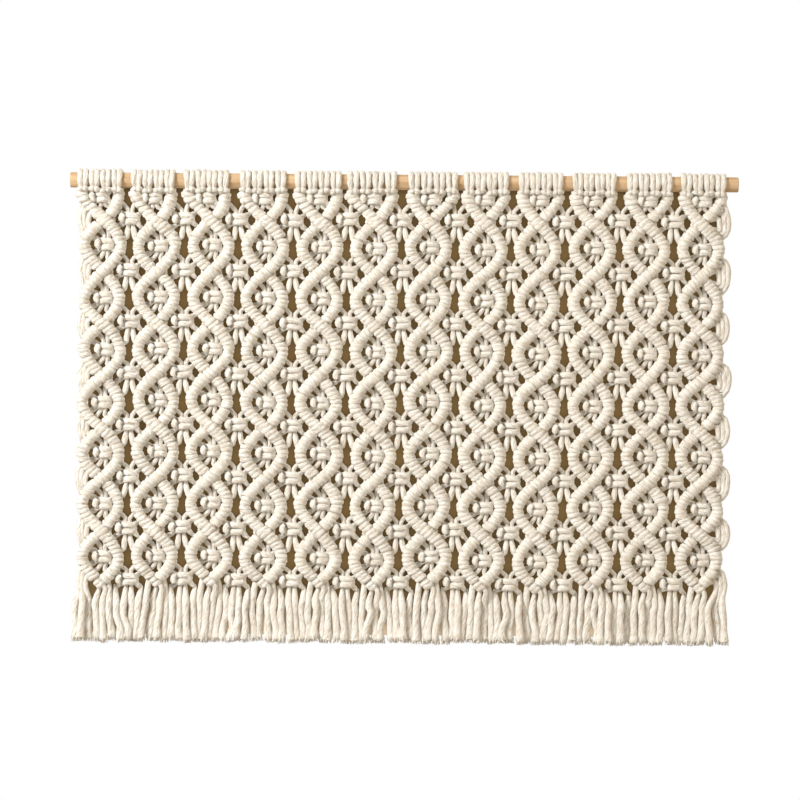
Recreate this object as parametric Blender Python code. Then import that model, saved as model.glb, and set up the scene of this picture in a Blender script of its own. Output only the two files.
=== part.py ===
"""Macrame wall hanging: a knotted cotton net and its fringe on a wooden dowel.

Metres, +Z up.  The origin is the middle of the dowel's axis, the dowel runs
along X, and the net's front faces -Y.  Twelve columns hang side by side.  In
each, two winding bars of hitches cross and part again, which makes a chain of
eyes, and square knots sit in the eyes and join neighbouring columns.
"""
import math
import random

import bmesh
import bpy
from mathutils import Vector
from mathutils.geometry import delaunay_2d_cdt

# ---------------------------------------------------------------- sizes

DOWEL_LENGTH = 0.610
DOWEL_RADIUS = 0.007
DOWEL_CHAMFER = 0.0008
DOWEL_SIDES = 24
GAP = 0.0003                    # between pieces that touch

COLUMNS = 12
COLUMN_PITCH = 0.0502
EYES = 7                        # closed eyes in a column, under its top half eye
EYE_PITCH = 0.0472              # from one crossing of the bars to the next
FIRST_CROSSING = -0.0335        # height of the highest crossing

EDGE_HALF = 0.0013              # half of the thickness at the rim of a gap
SIDE_HALF = 0.0024              # and along the net's two sides
BAR_SWING = 0.0155              # a bar's middle line from its column's middle
BAR_HALF = 0.0052               # half of a bar's width
BAR_FRONT = 0.0056              # how far a bar's ridges stand out
BAR_DIP = 0.0018                # how deep the bar is between two ridges
BAR_BACK = 0.0050
OVER_LIFT = 0.0006              # the bar on top stands this much prouder
BOW = 0.0012                    # how far the outermost cords bow out of the net's sides
OVER_POINTS = 9                 # ridges and dips of the bar on top, in one eye
UNDER_SHARES = (0.14, 0.32, 0.5, 0.68, 0.86)    # and places on the bar beneath
OUTER_SHARES = (0.28, 0.72)     # places on a bar's outer edge
INNER_SHARES = (0.25, 0.5, 0.75)
KNOT_FRONT = 0.0050             # how far square knots stand out
OUTER_FRONT = 0.0012            # the surface beside a bar, outside the eye
GROOVE_FRONT = -0.0004          # and inside it, round the knot
EYE_KNOT = (0.0058, 0.0036)     # half width and half height of a knot's top
JOIN_KNOT = (0.0066, 0.0034)
CORDS_FRONT = 0.0012            # the cords over and under the knot in an eye
CORDS_REACH = 0.0112

WRAPS = 4                       # mounting knots in a column
WRAP_PITCH = 0.0105
HEADING_FOOT = -0.0170          # where the mounting knots end and the net begins
HEADING_FRONT = 0.0034
HEADING_BACK = 0.0040
ARM_REACH = 0.0172              # the half eye's bars start this far from the middle
ARM_SHARES = (0.2, 0.4, 0.6, 0.8)
HALF_KNOT = (0.0062, 0.0122)    # the knot between them: half its width, its height above
HALF_CORDS = 0.0074             # and the height of the cords under it
NOTCH_FLOOR = 0.0090            # the gap between two columns' headings ends here, above
WRAP_DIP = 0.0016
BORE_SIDES = 8

NET_FOOT_JOIN = -0.3700         # lower edge of the net, under a joining knot
NET_FOOT_TIP = -0.3755          # and under a column's last crossing
NET_FOOT_HALF = 0.0017

STRIP_HEIGHT = 0.0040
STRANDS = 96
STRAND_HALF_X = 0.0024
STRAND_HALF_Y = 0.0021
STRAND_STEPS = 2
STRAND_SPLAY = 1.10             # the brushed end, against the cord
FRINGE_FOOT = -0.4225
FRINGE_UNEVEN = 0.0018
SWAY_X = 0.0012                 # strands lean together, in slow waves along the fringe
SWAY_PERIOD = 9.0               # strands in one such wave
SWAY_Y = 0.0016
SWAY_TURN = 2.4                 # radians of a sine from a strand's root to its end
SEED = 12

COTTON = (0.78, 0.70, 0.58, 1.0)
PINE = (0.68, 0.47, 0.28, 1.0)

# The profile of the mounting knots from their front foot, over the dowel and
# down behind it: y, z, and how much of the dip between two knots reaches it.
HEADING_PROFILE = [
    {"y": -0.0034, "z": -0.0170, "dip": 0.0},
    {"y": -0.0096, "z": -0.0122, "dip": 1.0},      # the bar in front, under the dowel
    {"y": -0.0099, "z": 0.0046, "dip": 0.8},
    {"y": 0.0000, "z": 0.0108, "dip": 0.5},
    {"y": 0.0104, "z": 0.0042, "dip": 0.8},
    {"y": 0.0050, "z": -0.0170, "dip": 0.0},
]

# The gap between two columns, beside the eyes, from its own middle.
SLIT = [
    {"x": 0.0000, "z": 0.0115},
    {"x": 0.0043, "z": 0.0030},
    {"x": 0.0040, "z": -0.0050},
    {"x": 0.0000, "z": -0.0115},
    {"x": -0.0040, "z": -0.0050},
    {"x": -0.0043, "z": 0.0030},
]

# The small gap beside a crossing, on its right, from the crossing.
NOTCH = [
    {"x": 0.0092, "z": 0.0012},
    {"x": 0.0146, "z": 0.0015},
    {"x": 0.0122, "z": -0.0068},
]


# ---------------------------------------------------------------- places

def column_x(column):
    """The middle line of a column, counted from the left."""
    return (column - (COLUMNS - 1) / 2) * COLUMN_PITCH


def crossing_z(row):
    return FIRST_CROSSING - row * EYE_PITCH


def bar_place(column, row, side, share, out=0.0):
    """A place on a bar, from one crossing (share 0) down to the next (share 1).

    The place may lie out from the bar's middle line, square to it.
    """
    across = BAR_SWING * math.sin(math.pi * share)
    slope = BAR_SWING * math.pi / EYE_PITCH * math.cos(math.pi * share)
    unit = math.hypot(1.0, slope)
    x = column_x(column) + side * (across + out / unit)
    z = crossing_z(row) - EYE_PITCH * share + out * slope / unit
    return x, z


# ---------------------------------------------------------------- sheet with relief

class Sheet:
    """A closed solid with a front and a back relief over one flat outline.

    Points on an outline or round a gap belong to both faces, and a wall joins
    them.  Other points belong to one face.  Each face is triangulated on its
    own, so the front can be finer than the back.
    """

    def __init__(self):
        self.bm = bmesh.new()
        self.front = []
        self.back = []
        self.loops = []
        self.ridges = []

    def vertex(self, x, y, z):
        return self.bm.verts.new((x, y, z))

    def front_point(self, x, z, depth):
        self.front.append((x, z, self.vertex(x, -depth, z), None))
        return len(self.front) - 1

    def ridge(self, indices):
        """Keep an edge of the front between each two points of a line."""
        self.ridges += list(zip(indices, indices[1:]))

    def back_point(self, x, z, depth):
        self.back.append((x, z, self.vertex(x, depth, z), None))

    def loop(self, points, is_outline=False):
        """Add a closed loop of (x, z, front depth, back depth)."""
        number = len(self.loops)
        pairs = []
        for x, z, front_depth, back_depth in points:
            ahead = self.vertex(x, -front_depth, z)
            behind = self.vertex(x, back_depth, z)
            self.front.append((x, z, ahead, number))
            self.back.append((x, z, behind, number))
            pairs.append((ahead, behind))
        self.loops.append((pairs, is_outline, [(x, z) for x, z, _, _ in points]))
        return pairs

    def fill(self, side):
        """Triangulate one face, leaving out its gaps and what is outside."""
        outline = next(index for index, loop in enumerate(self.loops) if loop[1])
        border = self.loops[outline][2]
        flat = [Vector((x, z)) for x, z, _, _ in side]
        places = {}
        for index, (x, z, _, number) in enumerate(side):
            if number is not None:
                places.setdefault(number, []).append(index)
        edges = list(self.ridges) if side is self.front else []
        for indices in places.values():
            edges += [(a, b) for a, b in zip(indices, indices[1:] + indices[:1])]
        result = delaunay_2d_cdt(flat, edges, [], 0, 1e-9)
        origin = [found[0] for found in result[3]]
        for triangle in result[2]:
            corners = [side[origin[index]] for index in triangle]
            numbers = {corner[3] for corner in corners}
            if len(numbers) == 1 and None not in numbers:
                middle_x = sum(corner[0] for corner in corners) / 3
                middle_z = sum(corner[1] for corner in corners) / 3
                if numbers != {outline} or not inside(border, middle_x, middle_z):
                    continue
            self.bm.faces.new([corner[2] for corner in corners])

    def walls(self, open_edges=()):
        """Join front and back along each loop, but not along open edges."""
        left_open = {frozenset(pair) for pair in open_edges}
        for pairs, _, _ in self.loops:
            for one, other in zip(pairs, pairs[1:] + pairs[:1]):
                if frozenset((one[0], other[0])) in left_open:
                    continue
                self.bm.faces.new((one[0], other[0], other[1], one[1]))


def inside(polygon, x, z):
    """Whether a point lies in a polygon of (x, z) corners."""
    found = False
    for (x1, z1), (x2, z2) in zip(polygon, polygon[1:] + polygon[:1]):
        if (z1 > z) != (z2 > z) and x < (x2 - x1) * (z - z1) / (z2 - z1) + x1:
            found = not found
    return found


# ---------------------------------------------------------------- net

def net_outline():
    """The net's outer edge, from the first column's top left to the right and round."""
    half = WRAPS * WRAP_PITCH / 2
    points = []
    for column in range(COLUMNS):
        for side in (-1, 0, 1):
            x = column_x(column) + side * half
            points.append((x, HEADING_FOOT - GAP, HEADING_FRONT, HEADING_BACK))
        if column < COLUMNS - 1:
            seam = column_x(column) + COLUMN_PITCH / 2
            points.append((seam, FIRST_CROSSING + NOTCH_FLOOR, EDGE_HALF, EDGE_HALF))
    right = column_x(COLUMNS - 1) + half
    left = column_x(0) - half
    side_z = [crossing_z(row) - share * EYE_PITCH for row in range(EYES) for share in (0.0, 0.5)]
    side_z.append(crossing_z(EYES))
    for index, z in enumerate(side_z):
        points.append((right + edge_bow(index), z, SIDE_HALF, SIDE_HALF))
    for x in reversed(foot_places()):
        points.append((x, foot_z(x), NET_FOOT_HALF, NET_FOOT_HALF))
    for index, z in reversed(list(enumerate(side_z))):
        points.append((left - edge_bow(index), z, SIDE_HALF, SIDE_HALF))
    return points


def foot_places():
    """Where the net's lower edge turns: its ends, the columns' middles and the seams."""
    half = (COLUMNS - 1) * COLUMN_PITCH / 2 + WRAPS * WRAP_PITCH / 2
    turns = [column_x(0) + index * COLUMN_PITCH / 2 for index in range(2 * COLUMNS - 1)]
    return [-half] + turns + [half]


def foot_z(x):
    """The height of the net's lower edge, which rises and falls with its columns."""
    place = (x - column_x(0)) / COLUMN_PITCH
    share = abs(place - round(place)) * 2
    return NET_FOOT_TIP + (NET_FOOT_JOIN - NET_FOOT_TIP) * share


def edge_bow(index):
    """Outside the outermost bars two cords run down in shallow loops."""
    return BOW if index % 2 == 0 else 0.0


def net_gaps(sheet):
    """The long gaps between columns and the small ones beside the crossings."""
    for row in range(EYES):
        slit_z = crossing_z(row) - EYE_PITCH / 2
        for column in range(COLUMNS):
            middle = column_x(column)
            if column < COLUMNS - 1:
                seam = middle + COLUMN_PITCH / 2
                sheet.loop([(seam + p["x"], slit_z + p["z"], EDGE_HALF, EDGE_HALF) for p in SLIT])
            for side in (-1, 1):
                if 0 <= column + side < COLUMNS:
                    place = crossing_z(row)
                    sheet.loop([(middle + side * p["x"], place + p["z"], EDGE_HALF, EDGE_HALF)
                                for p in NOTCH])


def bar_in_eye(sheet, column, row, side, is_over):
    """One bar between two crossings: its edges, and the line of its middle."""
    for share in OUTER_SHARES:
        sheet.front_point(*bar_place(column, row, side, share, BAR_HALF), OUTER_FRONT)
    for share in INNER_SHARES:
        sheet.front_point(*bar_place(column, row, side, share, -BAR_HALF), GROOVE_FRONT)
    sheet.back_point(*bar_place(column, row, side, 0.5), BAR_BACK)
    proud = BAR_FRONT + (OVER_LIFT if is_over else 0.0)
    over_shares = [step / (OVER_POINTS + 1) for step in range(1, OVER_POINTS + 1)]
    line = []
    for index, share in enumerate(over_shares if is_over else UNDER_SHARES):
        depth = proud - (0.0 if index % 2 else BAR_DIP)
        line.append(sheet.front_point(*bar_place(column, row, side, share), depth))
    return line


def knot_top(sheet, x, z, half):
    """The raised top of a square knot."""
    for side in (-1, 1):
        for rise in (-1, 1):
            sheet.front_point(x + side * half[0], z + rise * half[1], KNOT_FRONT)


def knot_in_eye(sheet, column, row):
    x = column_x(column)
    z = crossing_z(row) - EYE_PITCH / 2
    knot_top(sheet, x, z, EYE_KNOT)
    for rise in (-1, 1):
        sheet.front_point(x, z + rise * CORDS_REACH, CORDS_FRONT)


def half_eye(sheet, column, crossing):
    """The V of two bars under the mounting knots, and the knot between them."""
    middle = column_x(column)
    drop = HEADING_FOOT - FIRST_CROSSING
    for side in (-1, 1):
        line = [crossing]
        for index, share in enumerate(ARM_SHARES):
            depth = BAR_FRONT - (0.0 if index % 2 else BAR_DIP)
            place = (middle + side * share * ARM_REACH, FIRST_CROSSING + share * drop)
            line.append(sheet.front_point(*place, depth))
        sheet.ridge(line)
        sheet.front_point(middle + side * HALF_KNOT[0], FIRST_CROSSING + HALF_KNOT[1], KNOT_FRONT)
    sheet.front_point(middle, FIRST_CROSSING + HALF_CORDS, CORDS_FRONT)


def build_net(material):
    sheet = Sheet()
    sheet.loop(net_outline(), is_outline=True)
    net_gaps(sheet)
    for column in range(COLUMNS):
        middle = column_x(column)
        crossings = []
        for row in range(EYES + 1):
            z = crossing_z(row)
            crossings.append(sheet.front_point(middle, z, BAR_FRONT + OVER_LIFT))
            sheet.back_point(middle, z, BAR_BACK)
            if column < COLUMNS - 1:
                knot_top(sheet, middle + COLUMN_PITCH / 2, z, JOIN_KNOT)
        half_eye(sheet, column, crossings[0])
        for row in range(EYES):
            over_side = 1 if row % 2 == 0 else -1
            for side in (-1, 1):
                line = bar_in_eye(sheet, column, row, side, side == over_side)
                sheet.ridge([crossings[row]] + line + [crossings[row + 1]])
            knot_in_eye(sheet, column, row)
    sheet.fill(sheet.front)
    sheet.fill(sheet.back)
    sheet.walls()
    return finish_mesh(sheet.bm, "net", material, crease=12)


# ---------------------------------------------------------------- heading

def build_heading(column, material):
    """The mounting knots of one column: a ridged sleeve round the dowel."""
    bm = bmesh.new()
    start = column_x(column) - WRAPS * WRAP_PITCH / 2
    stations = [start + index * WRAP_PITCH / 2 for index in range(2 * WRAPS + 1)]
    rows = []
    for index, x in enumerate(stations):
        dip = WRAP_DIP if index % 2 == 0 else 0.0
        row = []
        for p in HEADING_PROFILE:
            reach = math.hypot(p["y"], p["z"])
            share = (reach - dip * p["dip"]) / reach
            row.append(bm.verts.new((x, p["y"] * share, p["z"] * share)))
        rows.append(row)
    for one, other in zip(rows, rows[1:]):
        for a, b, c, d in zip(one, other, other[1:] + other[:1], one[1:] + one[:1]):
            bm.faces.new((a, b, c, d))
    rings = [bore_ring(bm, stations[0]), bore_ring(bm, stations[-1])]
    for row, ring in zip((rows[0], rows[-1]), rings):
        rim = [bm.edges.get((a, b)) for a, b in zip(row, row[1:] + row[:1])]
        hole = [bm.edges.new((a, b)) for a, b in zip(ring, ring[1:] + ring[:1])]
        bmesh.ops.triangle_fill(bm, use_beauty=True, use_dissolve=False, edges=rim + hole)
    for index in range(BORE_SIDES):
        after = (index + 1) % BORE_SIDES
        bm.faces.new((rings[0][index], rings[1][index], rings[1][after], rings[0][after]))
    return finish_mesh(bm, f"heading_{column + 1:02d}", material, crease=12)


def bore_ring(bm, x):
    """The hole that the dowel passes through, at one end of a sleeve."""
    radius = (DOWEL_RADIUS + GAP) / math.cos(math.pi / BORE_SIDES)
    turns = [2 * math.pi * (index + 0.5) / BORE_SIDES for index in range(BORE_SIDES)]
    return [bm.verts.new((x, radius * math.sin(turn), radius * math.cos(turn))) for turn in turns]


# ---------------------------------------------------------------- fringe

def strand_places():
    """The strands' middles along X, evenly spread over the net's width."""
    width = (COLUMNS - 1) * COLUMN_PITCH + WRAPS * WRAP_PITCH
    pitch = (width - 2 * STRAND_HALF_X) / (STRANDS - 1)
    return [(index - (STRANDS - 1) / 2) * pitch for index in range(STRANDS)]


def strip_outline(places):
    """The strip's edge: its top under the net, then its roots from right to left."""
    tops = foot_places()
    points = [(x, foot_z(x) - GAP, STRAND_HALF_Y, STRAND_HALF_Y) for x in tops]
    for x in reversed(places):
        low = foot_z(x) - STRIP_HEIGHT
        points.append((x + STRAND_HALF_X, low, STRAND_HALF_Y, STRAND_HALF_Y))
        points.append((x - STRAND_HALF_X, low, STRAND_HALF_Y, STRAND_HALF_Y))
    return points, len(tops)


def strand(bm, ring, x, top, foot, sway):
    """A four-sided strand that hangs from its root, swaying a little."""
    for step in range(1, STRAND_STEPS + 1):
        share = step / STRAND_STEPS
        width = STRAND_SPLAY if step == STRAND_STEPS else 1.0
        along = x + sway[0] * math.sin(SWAY_TURN * share)
        out = sway[1] * math.sin(SWAY_TURN * share)
        lower = []
        for corner_x, corner_y in ((1, -1), (-1, -1), (-1, 1), (1, 1)):
            place = (along + corner_x * STRAND_HALF_X * width,
                     out + corner_y * STRAND_HALF_Y * width, top - (top - foot) * share)
            lower.append(bm.verts.new(place))
        for index in range(4):
            after = (index + 1) % 4
            bm.faces.new((ring[index], ring[after], lower[after], lower[index]))
        ring = lower
    bm.faces.new(ring)


def build_fringe(material):
    chance = random.Random(SEED)
    sheet = Sheet()
    places = strand_places()
    outline, root_start = strip_outline(places)
    pairs = sheet.loop(outline, is_outline=True)
    sheet.fill(sheet.front)
    sheet.fill(sheet.back)
    roots = [pairs[root_start + 2 * index:root_start + 2 * index + 2] for index in range(STRANDS)]
    sheet.walls([(right[0], left[0]) for right, left in roots])
    for index, ((right, left), x) in enumerate(zip(roots, reversed(places))):
        ring = [right[0], left[0], left[1], right[1]]
        foot = FRINGE_FOOT + FRINGE_UNEVEN * chance.uniform(-1, 1)
        wave = math.sin(2 * math.pi * index / SWAY_PERIOD)
        sway = (SWAY_X * wave, SWAY_Y * chance.uniform(-1, 1))
        strand(sheet.bm, ring, x, right[0].co.z, foot, sway)
    return finish_mesh(sheet.bm, "fringe", material)


# ---------------------------------------------------------------- dowel and scene

def build_dowel(material):
    bm = bmesh.new()
    bmesh.ops.create_cone(bm, cap_ends=True, segments=DOWEL_SIDES, radius1=DOWEL_RADIUS,
                          radius2=DOWEL_RADIUS, depth=DOWEL_LENGTH)
    rims = [edge for edge in bm.edges if len({round(v.co.z, 4) for v in edge.verts}) == 1]
    bmesh.ops.bevel(bm, geom=rims, offset=DOWEL_CHAMFER, segments=1, affect='EDGES')
    dowel = finish_mesh(bm, "dowel", material)
    dowel.rotation_euler = (0.0, math.pi / 2, 0.0)
    return dowel


def finish_mesh(bm, name, material, crease=35):
    """Turn the faces outward and make the named object."""
    bmesh.ops.recalc_face_normals(bm, faces=bm.faces)
    mesh = bpy.data.meshes.new(name)
    bm.to_mesh(mesh)
    bm.free()
    mesh.materials.append(material)
    mesh.shade_smooth()
    mesh.set_sharp_from_angle(angle=math.radians(crease))
    piece = bpy.data.objects.new(name, mesh)
    bpy.context.scene.collection.objects.link(piece)
    return piece


def make_material(name, colour, roughness):
    material = bpy.data.materials.new(name)
    material.use_nodes = True
    shader = material.node_tree.nodes["Principled BSDF"]
    shader.inputs["Base Color"].default_value = colour
    shader.inputs["Roughness"].default_value = roughness
    shader.inputs["Metallic"].default_value = 0.0
    return material


def main():
    for piece in list(bpy.data.objects):
        bpy.data.objects.remove(piece, do_unlink=True)
    cotton = make_material("cotton_cord", COTTON, 0.9)
    build_dowel(make_material("pine", PINE, 0.6))
    for column in range(COLUMNS):
        build_heading(column, cotton)
    build_net(cotton)
    build_fringe(cotton)


main()
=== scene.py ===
"""Looks of a macrame wall hanging: every cord is modelled along its own route.

Metres, +Z up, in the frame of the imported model: the dowel's axis is the X axis
and the hanging's front faces -Y. Routes are written in a column's own places:
u to the right of the column's middle, d towards the viewer, z up.
"""
import math
import random

import bpy
import numpy as np
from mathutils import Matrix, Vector, noise


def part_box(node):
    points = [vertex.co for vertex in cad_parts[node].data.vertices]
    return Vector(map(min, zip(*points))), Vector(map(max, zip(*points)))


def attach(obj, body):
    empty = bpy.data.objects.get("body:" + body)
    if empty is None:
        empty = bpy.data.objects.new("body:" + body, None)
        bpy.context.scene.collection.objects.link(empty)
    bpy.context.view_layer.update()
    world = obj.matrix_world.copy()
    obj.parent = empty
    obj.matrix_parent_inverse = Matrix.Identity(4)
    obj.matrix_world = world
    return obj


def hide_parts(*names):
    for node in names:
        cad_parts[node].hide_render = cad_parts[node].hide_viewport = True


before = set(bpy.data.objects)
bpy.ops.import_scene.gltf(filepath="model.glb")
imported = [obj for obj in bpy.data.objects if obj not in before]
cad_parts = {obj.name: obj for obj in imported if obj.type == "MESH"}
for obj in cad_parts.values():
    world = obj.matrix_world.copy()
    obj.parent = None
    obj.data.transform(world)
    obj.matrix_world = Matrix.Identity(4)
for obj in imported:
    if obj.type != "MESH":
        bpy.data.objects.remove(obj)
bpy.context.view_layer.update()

# ---------------------------------------------------------------- sizes

MM = 0.001
SEED = 5
COLUMNS = 12
EYES = 7                        # one above another in a column
WRAP_PITCH = 10.5 * MM          # from one mounting knot to the next
LEG_PITCH = WRAP_PITCH / 2
EYE_PITCH = 47.2 * MM           # from one crossing of the bars to the next
FIRST_CROSSING = -36.8 * MM
JOIN_RISE = 2.4 * MM            # knots between columns sit a little above the crossings beside them
BAR_SWING = {-1: 17.2 * MM, 1: 15.9 * MM}   # a bar's middle line from its column's middle, left and right

CARRIER = 2.4 * MM              # radius of the cord that a bar is tied on
WRAP_REACH = 3.7 * MM           # from a bar's middle to the middle of the cord round it
OVER_FULLER = 0.8 * MM          # more than that where the bar on top crosses
WRAP_THICK = 1.9 * MM           # half thickness of a cord pulled tight round a bar
WRAP_WIDE = 0.66                # half its width, against the distance between wraps
WRAP_BACK = 1.6 * MM            # and behind the bar, where it is squeezed
OVER_START = 4.0 * MM           # the bar on top: first wrap from the crossing
UNDER_START = 6.0 * MM          # the bar beneath
BAR_WRAPS = 12                  # three cords tie two hitches each, of two wraps
ARM_WRAPS = 6                   # on the first bars, above the first crossing, one hitch each
BAR_PLACES = 8                  # places on a carrier's way along a bar, and half as many on an arm
BAR_DEPTH = 1.0 * MM            # bars stand this much in front of the dowel's axis
BAR_LIFT = 1.2 * MM             # and the one on top rises this much at a crossing

ARM_TOP = (17.8 * MM, -10.6 * MM)   # the first bars start under the outer mounting knots
ARM_BEND = (16.2 * MM, -21.0 * MM)  # and bend towards the first crossing
HALF_KNOT_Z = -15.2 * MM        # the knot between the first bars, right under the mounting knots
HALF_KNOT_DEPTH = 0.6 * MM
HALF_KNOT_SCALE = (0.96, 0.94)  # its width and height against KNOT_LEFT and KNOT_RIGHT
EYE_KNOT_SHIFT = 1.9 * MM       # the knot in an eye, from the eye's middle
EYE_KNOT_DEPTH = -2.5 * MM
EYE_KNOT_RISE = 0.8 * MM
EYE_KNOT_SCALE = (0.92, 0.96)
JOIN_KNOT_DEPTH = -2.1 * MM     # the knot between two columns
JOIN_KNOT_SCALE = (1.08, 1.0)
PIT_AWAY = 12.6 * MM            # above and below an eye's knot its middle cords are parted
PIT_HALF = 3.6 * MM
PIT_SHIFT = -0.3 * MM
PIT_DEPTH = EYE_KNOT_DEPTH - 1.2 * MM

CORD_HALF = 2.6 * MM            # half width of a cord between knots
CORD_THICK = 2.2 * MM
KNOT_HALF = 2.9 * MM            # and in a square knot
KNOT_THICK = 2.2 * MM
KNOT_BACK = 0.75                # behind a knot the cord is thinner by this
BUMP_HALF = 3.1 * MM            # the widest stretch, the bump on the knot's left
BUMP_FROM = (-6.9, 3.0)         # which lies left of this and in front of that, in millimetres
KNOT_ASIDE = 0.5                # how much a cord at the knot's sides faces aside
MIDDLE_SLIM = (0.78, 0.9)       # a knot squeezes its middle cords' width and thickness by this
FRINGE_HALF = 3.3 * MM          # loose cords are wider
FRINGE_THICK = 2.6 * MM
FRINGE_TOP = -384.0 * MM
FRINGE_FOOT = -418.0 * MM
FRINGE_SWAY = 4.5 * MM          # how far neighbours swing aside together
FRINGE_SWAY_SIZE = 27.0 * MM
FRINGE_STRAY = 0.8 * MM         # and each by itself
FRINGE_CURL = 0.9 * MM
FRINGE_WAVE = 6.0               # radians of its slight wave
FRINGE_OPENS = (0.96, 0.34)     # its width at the top, and how much more at its foot
FRINGE_DEPTHS = (-3.0, 2.8)     # how far forward a loose cord hangs, in millimetres
FRINGE_SHARES = (0.0, 0.22, 0.44, 0.66, 0.86, 1.0)      # of its length
THREADS = 9                     # loose threads at each cut end
GOLDEN_TURN = 2.4               # radians from each thread to the next, which spreads them evenly
THREAD_STRAY = 0.4
THREAD_LENGTH = 7.0 * MM
THREAD_VARIES = (0.75, 1.1)
THREAD_INSIDE = 0.55            # the share of a thread that lies in its cord
THREAD_ROOT = 0.75              # how far out a thread begins, against its place in the cord
THREAD_SPREAD = (1.0, 1.6)      # and how far out it ends
THREAD_HALVES = ((0.0, 1.15 * MM), (0.5, 1.0 * MM), (1.0, 0.3 * MM))    # share along, half width
THREAD_FLAT = 0.8               # half thickness against half width

LOOSE = 0.125 * MM              # how far each place on a cord's way strays, as hands tie
LOOSE_HITCH = 0.1 * MM
LOOSE_LEG = 0.225 * MM          # over the dowel
LOOSE_FRINGE = 0.3 * MM
UNEVEN = 0.035                  # and how much a cord's width does

NET_SQUEEZE = 0.99              # the net hangs a little narrower than its heading
NET_SHIFT = -1.5 * MM
WANDER = 2.2 * MM               # hand-tied columns and rows stray this much at most
WANDER_DEEP = 0.6               # and in depth this share of it
WANDER_SIZE = 46.0 * MM
NET_SETTLES = (-12.0 * MM, -30.0 * MM)      # heights where that begins and is complete

DOWEL_RADIUS = 7.0 * MM
DOWEL_EDGE = 1.0 * MM           # its ends' rounding

# The mounting knot (lark's head): the cord's middle lies in front under the dowel, then
# both legs go up behind it and over. Places (u, d, z) in millimetres, u from the knot's
# middle, d and z from the dowel's axis.
KNOT_FRONT = [(0.0, 7.2, -8.6), (2.3, 7.1, -8.5), (3.6, 5.7, -8.6), (3.7, 3.0, -9.3), (3.4, -1.5, -9.6)]
KNOT_FRONT_SIZE = (2.6 * MM, 2.0 * MM)  # half width and half thickness
KNOT_RETURNS = (0.3, 0.6, -0.7)     # which way the cord faces where it goes back
KNOT_RISES = (-1.0, 0.7)        # no two knots hang alike: millimetres up
KNOT_TILT = 0.26                # and the most slope
LEG_TURNS = (235, 205, 180, 150, 120, 90, 60, 30, 5, -18)   # degrees: 180 behind, 0 in front
LEG_REACH = DOWEL_RADIUS + 1.55 * MM    # from the dowel's axis to the cord's middle
LEG_SIZE = (2.62 * MM, 1.8 * MM)
LEG_BEHIND = 3.4 * MM           # where a leg starts behind the dowel, from the knot's middle
LEG_PARTS = (230, 150)          # and in which degrees it goes from there to its own place
LEGS_MEET = (0.12, 0.36)        # what share two legs draw together: in front, and under the dowel
LEGS_LEAN = (25, -15)           # the degrees of the first
TUCK_UNDER = (5.2 * MM, -7.2 * MM)      # behind the strand in the knot's front (d, z)
TUCK_DOWN = (3.0 * MM, -11.6 * MM)      # and below it, for a column's four outer cords
TUCK_SIZE = (2.1 * MM, 1.7 * MM)

SHADE = (0.215, 0.132, 0.050)   # painted shade: the glowing card seen through the net stands for the wall in the hanging's shade
SHADE_LOW = (0.86, 0.66, 0.44)  # and towards the fringe's foot, where the painted shade is paler
SHADE_LEAST = 0.16              # its glow where the net before it is closed: painted deep shade
SHADE_OPEN = 2.0                # and how much more where it is open: the painted shade lifts with the net's openness
SHADE_PALER = FRINGE_TOP + 10 * MM      # the painted shade gets paler below this
SHADE_SIDES = (-288.0 * MM, 290.0 * MM)
SHADE_HEIGHTS = (-3.0 * MM, FRINGE_TOP, -414.0 * MM)    # behind the net, then behind the fringe
SHADE_BEHIND = (7.5 * MM, 5.2 * MM)     # how far it stands behind the dowel's axis there

COTTON_HOLLOW_SHADE = (0.57, 0.487, 0.375)      # painted shade in the hollows between threads
COTTON_LIGHT = (0.92, 0.922, 0.905)     # and on the threads
COTTON_AGED = (0.88, 0.83, 0.745)       # what a cord of full tone turns to
COTTON_SHEEN = (1.0, 0.88, 0.70)
COTTON_TWIST = 16.0                     # turns in a metre
COTTON_ALONG = 75.0                     # pattern along a metre of cord
TONES = (0.0, 0.4)                      # the least and the most of a cord
CORD_BEGINS = (2.3, 0.29)       # each column and cord shows another stretch of the pattern
THREAD_BEGINS = (9, 0.37)       # and each cut end and thread
THREAD_TURNS = 0.25             # how much of the pattern's ring goes round a thread
PINE_DARK = (0.44, 0.28, 0.14)
PINE_LIGHT = (0.68, 0.50, 0.31)

FLOOR_Z = -1.0
FLOOR_RADIUS = 3.9              # ends before the picture from the front takes it in
FLOOR_COLOUR = (0.83, 0.86, 0.92)
FLOOR_GLOW = 0.46
BACKDROP_RADIUS = 12.0
AMBIENT_COLOUR = (1.0, 0.88, 0.72)
AMBIENT_STRENGTH = 0.62
# Lights: place, size, power and colour; all aim at the hanging's middle.
LIGHTS = {"key": ((-2.1, -1.75, 0.9), 0.7, 89, (1.0, 1.0, 0.995)),
          "fill": ((2.0, -1.9, 0.9), 2.0, 14, (1.0, 0.88, 0.72)),
          "behind": ((0.9, 2.3, 1.0), 1.6, 46, (1.0, 0.99, 0.97))}
LIGHTS_AIM = (0.0, 0.0, -0.2)

FRAME_WIDTH = 0.7306            # of the hanging's plane that the photograph takes in
CAMERA_DISTANCE = 3.6
CAMERA_X = -0.0025
CAMERA_Z = -0.1988
CAMERA_ROLL = -0.43             # degrees


# ---------------------------------------------------------------- places

def middle_of(name):
    low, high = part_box(name)
    return (low.x + high.x) / 2


COLUMN_X = [middle_of(f"heading_{column + 1:02d}") for column in range(COLUMNS)]
COLUMN_PITCH = COLUMN_X[1] - COLUMN_X[0]

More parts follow.
